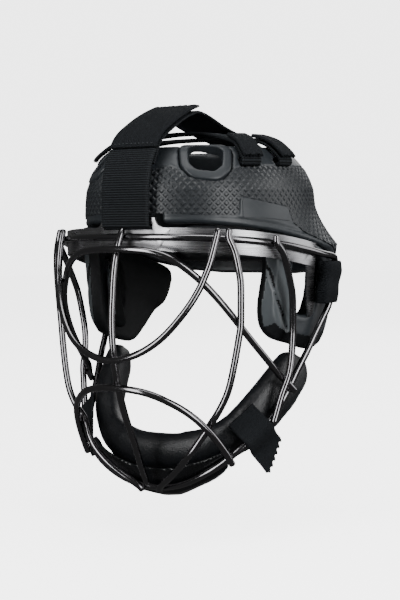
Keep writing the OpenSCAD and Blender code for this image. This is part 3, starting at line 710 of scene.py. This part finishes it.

# %% [markdown]
# The ear guards are moulded of black foam as well. Their faces turned outward and not down are
# painted lighter grey as painted light, lightest on the front arm, and the faces towards the
# face and round the lower edge stay black. A sharp line is pressed into the front arm, which
# parts its outer face into two facets.

# %% Ear guards
ARM_LINE = np.array([(79.5, -43, 166), (81, -41.5, 159), (83.7, -38.4, 145.1),
                     (85.2, -33, 134), (85.5, -27.8, 123.1)])
LINE_DEPTH = 1.5
LINE_WIDTH = 1.3
# The front arm lies ahead of this plane, and its outward face is painted lightest, as painted
# light
ARM_END = -22

for side, sign in (("left", 1), ("right", -1)):
    guard = moulded("ear_guard_" + side, "moulded_ear_guard_" + side, 1.1, 8)
    p = points(guard)
    normals = np.array([v.normal for v in guard.data.vertices])
    line = ARM_LINE * (sign, 1, 1)
    near = away_from(zip(line[:-1], line[1:]), p)
    set_points(guard, p - normals * (LINE_DEPTH * np.exp(-(near / LINE_WIDTH) ** 2))[:, None])
    dress(guard, ["ear_guard_" + side], BLACK_FOAM)
    guard.data.materials.append(LIT_GUARD_FOAM)
    guard.data.materials.append(LIT_FACET_FOAM)
    # Painted light: faces turned outward and not down get the lighter greys
    for face in guard.data.polygons:
        if face.normal.x * sign > 0.25 and face.normal.z > -0.3:
            face.material_index = 2 if face.center.y < ARM_END * MM else 1

# %% [markdown]
# The cup under the chin pad is moulded of harder plastic, thin and smooth, so it takes the
# same remesh and a shorter smoothing that keeps its rim crisp.

# %% Chin cup
cup = moulded("chin_cup", "moulded_chin_cup", 1.0, 6)
dress(cup, ["chin_cup"], CUP_SHELL)

# %% [markdown]
# The pads are foam under a stretched cover, so their faces swell between the edges. Each is
# remeshed, drawn in a little, and blown up by a short cloth simulation with pressure and no
# gravity. What a point may move is capped, so a pad keeps clear of its neighbours.

# %% Pads
# Each pad's voxel size and how far a point may move, both in millimetres
PADS = {"brow_pad": (4.0, 1.2), "rear_pad": (4.0, 1.5), "cheek_pad_left": (3.0, 1.2),
        "cheek_pad_right": (3.0, 1.2), "chin_pad": (4.5, 1.2)}
PRESSURE = 4.0
LAST_FRAME = 20


def pad_body(node, voxel_mm):
    pad = copy_of(node, "soft_" + node)
    modify(pad, "REMESH", mode="VOXEL", voxel_size=voxel_mm * MM)
    modify(pad, "SMOOTH", factor=0.5, iterations=3)
    return pad


def blow_up(pads):
    for pad in pads:
        cloth = pad.modifiers.new("Puff", "CLOTH")
        cloth.settings.quality = 5
        cloth.settings.mass = 0.3
        cloth.settings.use_pressure = True
        cloth.settings.uniform_pressure_force = PRESSURE
        cloth.settings.effector_weights.gravity = 0
        cloth.point_cache.frame_start = 1
        cloth.point_cache.frame_end = LAST_FRAME
    for number in range(1, LAST_FRAME + 1):
        bpy.context.scene.frame_set(number)
    for pad in pads:
        only(pad)
        bpy.ops.object.modifier_apply(modifier="Puff")
    bpy.context.scene.frame_set(1)


pads = {node: pad_body(node, voxel) for node, (voxel, cap) in PADS.items()}
before = {node: points(pad) for node, pad in pads.items()}
blow_up(list(pads.values()))
for node, (voxel, cap) in PADS.items():
    pad = pads[node]
    moved = points(pad) - before[node]
    reach = np.linalg.norm(moved, axis=1, keepdims=True)
    moved *= np.minimum(1, cap / np.maximum(reach, 1e-6))
    set_points(pad, before[node] + moved)
    print(node, "swelled by up to", round(float(reach.max()), 2), "mm, capped at", cap)
    modify(pad, "SUBSURF", levels=1, render_levels=1)
    cheek = node.startswith("cheek")
    dress(pad, [node], LINING if cheek else COATED)
    if cheek:
        # Painted light: faces of a cheek pad turned outward or forward get the lighter grey, the
        # rest keep the dark lining
        pad.data.materials.append(LIT_FACET_FOAM)
        sign = 1 if node.endswith("left") else -1
        for face in pad.data.polygons:
            face.material_index = int(face.normal.x * sign > 0.1 or face.normal.y < -0.75)

# %% [markdown]
# A strap is modelled flat, as it comes off the loom: a grid with a thickness, soft
# selvedges, ribs across it, and a cut end. It is then laid along its route, which repeats
# the route of its solid. The UV map keeps its flat place in millimetres. First come the route
# itself, a smooth curve through a few points, and the way a flat strap is laid along it.

# %% Routes
def length_of(route):
    return float(np.linalg.norm(np.diff(route, axis=0), axis=1).sum())


def curve_through(route, steps):
    route = [np.asarray(q, float) for q in route]
    out = []
    for i in range(len(route) - 1):
        a, b = route[max(i - 1, 0)], route[i]
        c, d = route[i + 1], route[min(i + 2, len(route) - 1)]
        for j in range(steps):
            k = j / steps
            out.append(0.5 * (2 * b + (c - a) * k + (2 * a - 5 * b + 4 * c - d) * k * k
                              + (3 * b - a - 3 * c + d) * k ** 3))
    return np.array(out + [route[-1]])


def lay(flat, route, wide):
    length = np.concatenate([[0], np.cumsum(np.linalg.norm(np.diff(route, axis=0), axis=1))])
    s = np.clip(flat[:, 0], 0, length[-1])
    over = flat[:, 0] - s
    middle = np.stack([np.interp(s, length, route[:, i]) for i in range(3)], -1)
    ahead = np.gradient(route, length, axis=0)
    ahead = np.stack([np.interp(s, length, ahead[:, i]) for i in range(3)], -1)
    ahead /= np.linalg.norm(ahead, axis=1, keepdims=True)
    side = np.stack([np.interp(s, length, wide[:, i]) for i in range(3)], -1)
    side -= ahead * (side * ahead).sum(1, keepdims=True)
    side /= np.linalg.norm(side, axis=1, keepdims=True)
    up = np.cross(ahead, side)
    return middle + ahead * over[:, None] + side * flat[:, 1:2] + up * flat[:, 2:3]


# %% [markdown]
# The strap is a grid with a row of cells for each sixth of a rib, so the ribs are round. At a
# cut end the last few millimetres give way: a plain cut leaves them ragged, and pinking
# shears leave even teeth. A slanted cut shortens the strap towards one edge.

# %% Flat straps
ACROSS = 24
THICK = 2.5
ROWS_PER_RIB = 6
PLAIN_ROW = 1.2
RIB_DEPTH = 0.36
# The selvedge takes what lies beyond this share of the half width, and thins it to this
SELVEDGE = (0.93, 0.45)
RIBS_END = 0.9
RAGGED = 4


def web_map(obj, flat):
    uv = obj.data.uv_layers.new(name="web")
    corner = np.empty(len(obj.data.loops), np.int32)
    obj.data.loops.foreach_get("vertex_index", corner)
    uv.data.foreach_set("uv", flat[corner].ravel())


def cut_ends(flat, width, end_at, ends, seed):
    rough = np.random.default_rng(seed)
    column = np.round((flat[:, 1] / width + 0.5) * ACROSS).astype(int)
    for at, teeth in ((0, ends[0]), (end_at, ends[1])):
        # A negative number asks for even teeth
        if teeth > 0:
            jag = rough.uniform(-1, 1, ACROSS + 1) * teeth
        else:
            jag = np.where(np.arange(ACROSS + 1) % 4 > 1, -teeth, teeth)
        near = np.clip(1 - np.abs(flat[:, 0] - at) / RAGGED, 0, 1)
        flat[:, 0] += jag[column] * near


def strap(name, route, wide, width, rib=0.0, ends=(0.0, 0.0), seed=1, slant=None):
    total = length_of(route)
    rows = int(total / (rib / ROWS_PER_RIB if rib else PLAIN_ROW))
    bpy.ops.object.select_all(action="DESELECT")
    bpy.ops.mesh.primitive_grid_add(x_subdivisions=rows, y_subdivisions=ACROSS, size=MM)
    web = bpy.context.active_object
    web.name = name
    with editing(web):
        bpy.ops.transform.resize(value=(total, width, 1))
        bpy.ops.transform.translate(value=(total / 2 * MM, 0, 0))
    modify(web, "SOLIDIFY", thickness=THICK * MM, offset=0)
    flat = points(web) - HEAD
    web_map(web, flat[:, :2])
    edge = np.abs(flat[:, 1]) / (width / 2)
    end_at = np.full(len(flat), total)
    if slant:
        end_at = np.minimum(total, slant[0] - slant[1] * (flat[:, 1] / width + 0.5))
        flat[:, 0] *= end_at / total
    flat[:, 2] *= np.where(edge > SELVEDGE[0], SELVEDGE[1], 1.0)
    if rib:
        valley = 0.5 + 0.5 * np.cos(2 * np.pi * flat[:, 0] / rib)
        flat[:, 2] *= 1 - RIB_DEPTH * valley * (edge < RIBS_END)
    cut_ends(flat, width, end_at, ends, seed)
    set_points(web, lay(flat, route, wide))
    face_outward(web)
    return web

# %% [markdown]
# A cut end of tape sheds its fibres, and a seam is a row of short stitches. One fibre and one
# stitch are modelled flat, an array repeats them across the strap, and the row is laid along
# the strap's own route. The fibres' lengths and slants are drawn from a fixed seed.

# %% Loose fibres and stitches
FIBRE_GAP = 0.45
FIBRE_LENGTH = 2.4
FIBRE_RADIUS = 0.3
# How far a fibre's root lies inside the strap, lengthwise, and inside its edge, across
FIBRE_ROOT = 0.6
FIBRE_INSET = 0.3
STITCH_GAP = 3.4
STITCH_LEVEL = -1.35


def row_of(name, count, gap, first):
    obj = bpy.context.active_object
    obj.name = name
    modify(obj, "ARRAY", count=count, use_relative_offset=False, use_constant_offset=True,
           constant_offset_displace=(0, gap * MM, 0))
    flat = points(obj) - HEAD
    flat[:, 1] += first
    return obj, flat


def fringe(route, wide, width, seed, at_start=False):
    count = int(width / FIBRE_GAP)
    bpy.ops.object.select_all(action="DESELECT")
    bpy.ops.mesh.primitive_cone_add(vertices=4, radius1=FIBRE_RADIUS * MM,
                                    depth=FIBRE_LENGTH * MM,
                                    rotation=(0, math.radians(90), 0))
    only(bpy.context.active_object)
    bpy.ops.object.transform_apply(location=True, rotation=True, scale=True)
    obj, flat = row_of("fibres", count, width / count, -width / 2 + FIBRE_INSET)
    rough = np.random.default_rng(seed)
    each = np.round((flat[:, 1] + width / 2 - FIBRE_INSET) / (width / count)).astype(int)
    each = np.clip(each, 0, count - 1)
    tip = np.clip(flat[:, 0] / FIBRE_LENGTH + 0.5, 0, 1)
    flat[:, 0] = tip * rough.uniform(0.6, FIBRE_LENGTH, count)[each] - FIBRE_ROOT
    flat[:, 1] += tip * rough.uniform(-0.9, 0.9, count)[each]
    flat[:, 2] += (rough.uniform(-0.7, 0.7, count)[each]
                   + tip * rough.uniform(-0.6, 0.6, count)[each])
    flat[:, 0] = -flat[:, 0] if at_start else length_of(route) + flat[:, 0]
    set_points(obj, lay(flat, route, wide))
    face_outward(obj)
    return obj


def stitches(name, route, wide, width, at):
    count = int(width / STITCH_GAP)
    bpy.ops.object.select_all(action="DESELECT")
    bpy.ops.mesh.primitive_uv_sphere_add(segments=8, ring_count=6, radius=MM)
    only(bpy.context.active_object)
    with editing(bpy.context.active_object):
        bpy.ops.transform.resize(value=(0.45, 1.25, 0.45))
    obj, flat = row_of(name, count, width / count, -width / 2 + width / count / 2)
    flat[:, 0] += at
    flat[:, 2] += STITCH_LEVEL
    set_points(obj, lay(flat, route, wide))
    face_outward(obj)
    return obj

# %% [markdown]
# The broad crown strap comes up through the slot in the brow plate, turns over its edge and
# rises in front of the shell. Its ribbed webbing ends in a sewn seam, and a tab of hook and
# loop tape goes on from there and lies on the strap that comes forward from the back. The
# seams leave a little free at each edge of the strap.

# %% Crown straps
PLATE_Y = -101.4
SLOT_Z = 198.0
CROWN_W = 40.0
SEAM_W = CROWN_W - 5
TAB_SEAM_AT = 2.4
# The rear seam's two rows, measured back from the strap's end
REAR_SEAM_BACK = (3.5, 9.0)
front_course = [(PLATE_Y + 4.15, SLOT_Z + 10), (PLATE_Y + 3.85, SLOT_Z + 2.5),
                (PLATE_Y + 1.6, SLOT_Z - 0.3), (PLATE_Y - 1, SLOT_Z - 0.3),
                (PLATE_Y - 2.55, SLOT_Z + 2), (PLATE_Y - 2.55, SLOT_Z + 14),
                (-103, 228), (-98.8, 243), (-93.8, 252)]
tab_course = [(-93.4, 253.7), (-90.6, 258.4), (-84.5, 264.2), (-76, 269.3), (-62, 276.3),
              (-49, 281.4), (-38, 284.8)]
rear_course = [(-96.2, 242), (-91.2, 250.6), (-88.4, 256.5), (-82.7, 261.3), (-74.8, 266),
               (-61, 273), (-48, 278.2), (-37, 280.3), (-24, 277.8), (-4, 271.2), (14, 266.6),
               (32, 262.6), (43, 259.4), (52.6, 255.7), (58.4, 251.4), (64, 245.3), (68.6, 239)]


def crown_route(course):
    route = curve_through([(0, y, z) for y, z in course], 12)
    return route, np.tile([1.0, 0, 0], (len(route), 1))


front = strap("ribbed_crown_strap", *crown_route(front_course), CROWN_W, rib=RIB)
dress(front, ["front_crown_strap"], WEBBING, flat_angle=60)
tab_route = crown_route(tab_course)
tab = strap("crown_tab_tape", *tab_route, CROWN_W, ends=(0, 1.3), seed=4)
tab = join("crown_tab_tape", [tab, fringe(*tab_route, CROWN_W, 4)])
dress(tab, ["crown_tab"], LOOP_TAPE, body="crown_tab", flat_angle=60)
seam = stitches("crown_tab_seam", *tab_route, SEAM_W, TAB_SEAM_AT)
dress(seam, [], THREAD, body="crown_tab")
rear_route = crown_route(rear_course)
rear = strap("rear_crown_webbing", *rear_route, CROWN_W, rib=RIB)
dress(rear, ["rear_crown_strap"], WEBBING, flat_angle=60)
rear_length = length_of(rear_route[0])
rows = [stitches("rear_crown_seam", *rear_route, SEAM_W, rear_length - back)
        for back in REAR_SEAM_BACK]
dress(join("rear_crown_seam", rows), [], THREAD)

# %% [markdown]
# Two narrower straps cross the open crown. Each end dives through a slot in the shell's top
# rim, and its free end lies doubled on top as a tab.

# %% Cross straps
SLOT_HEIGHT = 242.0
# Courses at a slot: how far inward of the wall, and how far above the shell's top
slot_course = [(25, -13.5), (18, -13.5), (12.5, -13.5), (9.2, -13), (8, -11), (9.5, -8),
               (13.5, -4.2), (19, -0.1), (25.5, 2.8)]
tab_up = [(5, -7.5), (7.2, -4.8), (11.4, -1.2), (17.2, 3), (24.2, 6), (33, 8.4)]
# Each strap's slot angle, and its points over the open crown, from the slot to the middle
CROSSINGS = {"front": (57.0, [(37, -29, 7), (18, -26.5, 9.8), (0, -26, 10.5)]),
             "rear": (84.0, [(38, 0, 6.3), (20, 4, 7.3), (0, 6, 7.5)])}
CROSS_W = 15.0
CROSS_STEPS = 9


def at_slot(h, inward, up):
    r = float(wall_radius(h, SLOT_HEIGHT)) - inward
    return (r * math.sin(math.radians(h)), -r * math.cos(math.radians(h)), SHELL_TOP + up)


for name, (h, over) in CROSSINGS.items():
    half = [at_slot(h, *q) for q in slot_course] + [(x, y, SHELL_TOP + z) for x, y, z in over]
    half = half[::-1]
    both = [(-x, y, z) for x, y, z in half[:0:-1]] + half
    route = curve_through(both, CROSS_STEPS)
    c, s = math.cos(math.radians(h)), math.sin(math.radians(h))
    # The strap lies square over the crown and turns to the slot's direction on its way out
    count = np.arange(len(route)) - (len(route) - 1) / 2
    k = np.clip((np.abs(count) - CROSS_STEPS) / (3 * CROSS_STEPS), 0, 1)
    wide = np.stack([np.sign(count) * k * c, 1 + (s - 1) * k, 0 * k], -1)
    web = strap(name + "_cross_webbing", route, wide, CROSS_W, rib=RIB)
    dress(web, [name + "_cross_strap"], WEBBING, flat_angle=60)
    for side, sign in (("left", 1), ("right", -1)):
        route = curve_through([at_slot(h, *q) for q in tab_up], 10) * (sign, 1, 1)
        wide = np.tile([sign * c, s, 0], (len(route), 1))
        node = f"{name}_cross_tab_{side}"
        end = strap(node + "_tape", route, wide, CROSS_W, ends=(0.8, 0), seed=7)
        end = join(node + "_tape", [end, fringe(route, wide, CROSS_W, 7, at_start=True)])
        dress(end, [node], LOOP_TAPE, body=node, flat_angle=60)

# %% [markdown]
# The temple straps are loops of tape round the upright part of the side wire. The remesh and
# the smoothing round the loop's corners, and a slow wave then crumples it a little, as tape
# does that is pulled tight round a bar.

# %% Temple straps
# Two waves: the height of each, and its lengths up and along the strap over a full turn
CRUMPLE = ((0.5, 2.6, 9), (0.4, 5.5, -6))

for side in ("left", "right"):
    loop = moulded("temple_strap_" + side, "temple_loop_" + side, 0.9, 10)
    p = points(loop)
    middle = p.mean(0)
    outward = (p - middle) * (1, 1, 0)
    outward /= np.linalg.norm(outward, axis=1, keepdims=True)
    crumple = sum(height * np.sin(p[:, 2] / up + p[:, 1] / along)
                  for height, up, along in CRUMPLE)
    p += outward * crumple[:, None]
    set_points(loop, p)
    web_map(loop, p[:, [2, 1]])
    dress(loop, ["temple_strap_" + side], LOOP_TAPE, flat_angle=50)

# %% [markdown]
# The chin straps wrap the lower wire next to the chin roll. The tail below is cut with
# pinking shears, so its end is a row of small teeth.

# %% Chin straps
WRAP_AT = np.array([74.6, -52.8, 51.2])
WRAP_ALONG = np.array([0.4566, 0.6257, 0.6325])
WRAP_OUT = np.array([0.8789, -0.4278, -0.2113])
WRAP_DOWN = np.cross(WRAP_ALONG, WRAP_OUT)
# From the wire's middle to the strap's: half the wire, half the strap and a little air
OVER_WIRE = 2.5 + 1.25 + 0.3
CHIN_W = 24.0
# The tail's length along its front edge, and how much shorter its rear edge is
TAIL_SLANT = (19.0, 14.0)
chin_course = [(-16, -7.8), (-13.5, -6.8), (-10, -3.4), (-6.2, 1), (-2.5, OVER_WIRE),
               (2.5, OVER_WIRE), (6.3, 2.4), (10.2, 0.8)]
tail_course = [(10.7, 0.8), (14.5, 2.4), (19, 4), (23.5, 4.8), (28, 5)]
for side, sign in (("left", 1), ("right", -1)):
    for course, name, node, body, ends, slant in (
            (chin_course, "chin_webbing_", "chin_strap_", "mask", (0, 0), None),
            (tail_course, "chin_tail_webbing_", "chin_tail_", "chin_tail_" + side, (0, -0.8),
             TAIL_SLANT)):
        way = curve_through(course, 10)
        route = (WRAP_AT + way[:, :1] * WRAP_DOWN + way[:, 1:] * WRAP_OUT) * (sign, 1, 1)
        wide = np.tile(WRAP_ALONG * (sign, 1, 1), (len(route), 1))
        web = strap(name + side, route, wide, CHIN_W, ends=ends, seed=11, slant=slant)
        dress(web, [node + side], LOOP_TAPE, body=body, flat_angle=60)

# %% [markdown]
# The mask stands in the air before a pale ground, as in a studio cut-out. The ground is a
# glowing round wall and a floor of the same paper. Neither is seen by the reflections, as when
# a studio hides its white paper behind black cards, so the black foam stays black.

# %% Floor and backdrop
FLOOR_Z = -0.175
FLOOR_SIZE = 12
WALL_RADIUS = 5.0
WALL_HEIGHT = 8.0
PAPER_GLOW = 3.7


def as_stage(name, paper_name):
    paper, tree, shader = start(paper_name, "#f4f4f4", 0.9, Emission_Color=(1, 1, 1, 1),
                                Emission_Strength=PAPER_GLOW)
    grain(tree, shader, 3.0, 0.02, 0.1)
    sheet = bpy.context.active_object
    sheet.name = name
    sheet.data.materials.append(paper)
    sheet.visible_diffuse = False
    sheet.visible_glossy = False
    print("stage", name)


bpy.ops.object.select_all(action="DESELECT")
bpy.ops.mesh.primitive_plane_add(size=FLOOR_SIZE, location=(0, 0, FLOOR_Z))
as_stage("floor", "pale_floor_paper")
bpy.ops.object.select_all(action="DESELECT")
bpy.ops.mesh.primitive_cylinder_add(vertices=96, radius=WALL_RADIUS, depth=WALL_HEIGHT,
                                    end_fill_type="NOTHING",
                                    location=(0, 0, FLOOR_Z + WALL_HEIGHT / 2))
as_stage("backdrop", "white_backdrop_paper")

# %% [markdown]
# The room itself is nearly dark. Two tall soft lights at the sides and a broad one above draw
# the highlights on the wires and the knurl, and two weak ones fill the back.

# %% Room and lights
ROOM_GLOW = 0.1

world = bpy.data.worlds.new("studio")
bpy.context.scene.world = world
world.use_nodes = True
room = world.node_tree.nodes["Background"]
room.inputs["Color"].default_value = (1, 1, 1, 1)
room.inputs["Strength"].default_value = ROOM_GLOW


def soft_light(name, at, size, power):
    data = bpy.data.lights.new(name, "AREA")
    data.shape = "RECTANGLE"
    data.size, data.size_y = size
    data.energy = power
    light = bpy.data.objects.new(name, data)
    bpy.context.scene.collection.objects.link(light)
    light.location = at
    light.visible_camera = False
    light.rotation_euler = (-Vector(at)).to_track_quat("-Z", "Y").to_euler()
    print(name, power, "W")


soft_light("light_left", (-0.25, -1.5, 0.3), (0.5, 1.6), 26)
soft_light("light_right", (1.4, -0.5, 0.3), (0.6, 1.6), 28)
soft_light("light_top", (0.2, -0.3, 1.6), (1.2, 0.8), 16)
soft_light("light_rear_right", (1.2, 0.9, 0.4), (0.9, 1.2), 10)
soft_light("light_rear", (-0.3, 1.7, 0.8), (1.2, 0.8), 7)
